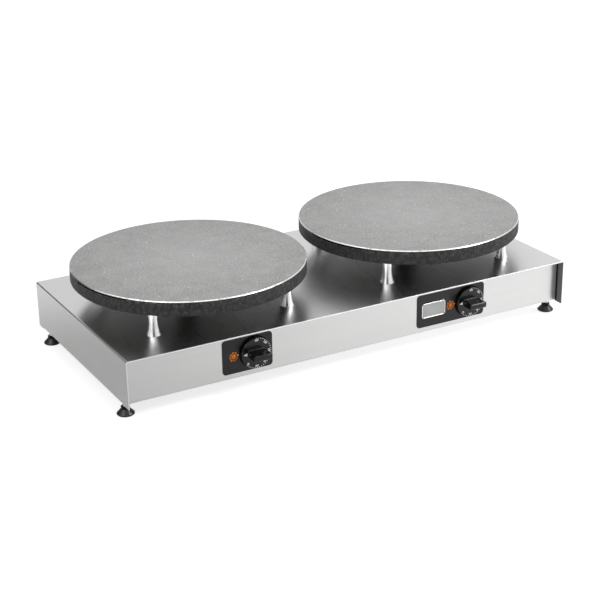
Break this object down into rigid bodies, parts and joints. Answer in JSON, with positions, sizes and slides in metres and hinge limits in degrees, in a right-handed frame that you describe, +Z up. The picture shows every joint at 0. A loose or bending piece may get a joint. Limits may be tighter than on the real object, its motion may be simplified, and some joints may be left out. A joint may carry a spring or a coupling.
{
  "type": "electric crepe maker",
  "caption": "Flat stainless counter unit with round cast griddle plates side by side on polished pillars, each with its own thermostat dial, on levelling feet.",
  "frame": {"origin": "on the worktop under the middle of the machine, feet screwed fully in", "axes": "+X to the right along the front, +Y to the back, +Z up"},
  "size_m": [0.8616, 0.43, 0.174],
  "materials": {
    "stainless": "brushed along the width, folded sheet",
    "zinc_steel": "zinc plated",
    "badge_metal": "satin, blank",
    "black_nylon": "moulded",
    "rubber": "matte",
    "foot_rubber": "semi-matte moulded",
    "white_plastic": "moulded",
    "brass": "plain",
    "cast_iron": "machined top, as-cast rim",
    "heater_steel": "oxidised tube",
    "ceramic_wool": "fibre board",
    "shield_steel": "mill finish",
    "polished_pillar": "polished",
    "copper_tube": "drawn tube",
    "knob_black": "semi-gloss moulded, printed numbers",
    "thermostat_body": "moulded",
    "label_black": "satin film",
    "amber_lens": "faceted, translucent",
    "lead_sleeve": "braided glass sleeve"
  },
  "bodies": {
    "casing": {"top_cover": "stainless", "base_pan": "stainless", "cover_screws": "zinc_steel", "foot_nuts": "zinc_steel", "pillar_studs": "zinc_steel", "pillar_washers": "zinc_steel", "pillar_nuts": "zinc_steel", "clamp_screws": "zinc_steel", "shield_screws": "zinc_steel", "thermostat_screws": "zinc_steel", "blank_badge": "badge_metal", "gland_body": "black_nylon", "gland_nut": "black_nylon", "gland_seal": "rubber", "gland_locknut": "black_nylon", "terminal_block": "white_plastic", "earth_stud": "brass", "griddle_plate_left": "cast_iron", "heating_element_left": "heater_steel", "element_clamps_left": "zinc_steel", "insulation_disc_left": "ceramic_wool", "heat_shield_left": "shield_steel", "pillars_left": "polished_pillar", "wiring_conduit_left": "shield_steel", "temperature_probe_left": "copper_tube", "thermostat_left": "thermostat_body", "control_label_left": "label_black", "pilot_lens_left": "amber_lens", "pilot_lamp_left": "white_plastic", "leads_left": "lead_sleeve", "griddle_plate_right": "cast_iron", "heating_element_right": "heater_steel", "element_clamps_right": "zinc_steel", "insulation_disc_right": "ceramic_wool", "heat_shield_right": "shield_steel", "pillars_right": "polished_pillar", "wiring_conduit_right": "shield_steel", "temperature_probe_right": "copper_tube", "thermostat_right": "thermostat_body", "control_label_right": "label_black", "pilot_lens_right": "amber_lens", "pilot_lamp_right": "white_plastic", "leads_right": "lead_sleeve"},
    "dial_left": {"knob_left": "knob_black", "thermostat_shaft_left": "zinc_steel"},
    "dial_right": {"knob_right": "knob_black", "thermostat_shaft_right": "zinc_steel"},
    "foot_front_left": {"foot_pad_front_left": "foot_rubber", "foot_stud_front_left": "zinc_steel"},
    "foot_front_right": {"foot_pad_front_right": "foot_rubber", "foot_stud_front_right": "zinc_steel"},
    "foot_rear_left": {"foot_pad_rear_left": "foot_rubber", "foot_stud_rear_left": "zinc_steel"},
    "foot_rear_right": {"foot_pad_rear_right": "foot_rubber", "foot_stud_rear_right": "zinc_steel"}
  },
  "joints": [
    {"name": "dial_left_turn", "type": "hinge", "parent": "casing", "child": "dial_left", "pos_m": [-0.1945, -0.184, 0.0645], "axis": [0, 1, 0], "range_deg": [0, 270]},
    {"name": "dial_right_turn", "type": "hinge", "parent": "casing", "child": "dial_right", "pos_m": [0.228, -0.184, 0.0645], "axis": [0, 1, 0], "range_deg": [0, 270]},
    {"name": "foot_front_left_screw", "type": "slide", "parent": "casing", "child": "foot_front_left", "axis": [0, 0, -1], "range_m": [0, 0.012]},
    {"name": "foot_front_right_screw", "type": "slide", "parent": "casing", "child": "foot_front_right", "axis": [0, 0, -1], "range_m": [0, 0.012]},
    {"name": "foot_rear_left_screw", "type": "slide", "parent": "casing", "child": "foot_rear_left", "axis": [0, 0, -1], "range_m": [0, 0.012]},
    {"name": "foot_rear_right_screw", "type": "slide", "parent": "casing", "child": "foot_rear_right", "axis": [0, 0, -1], "range_m": [0, 0.012]}
  ]
}
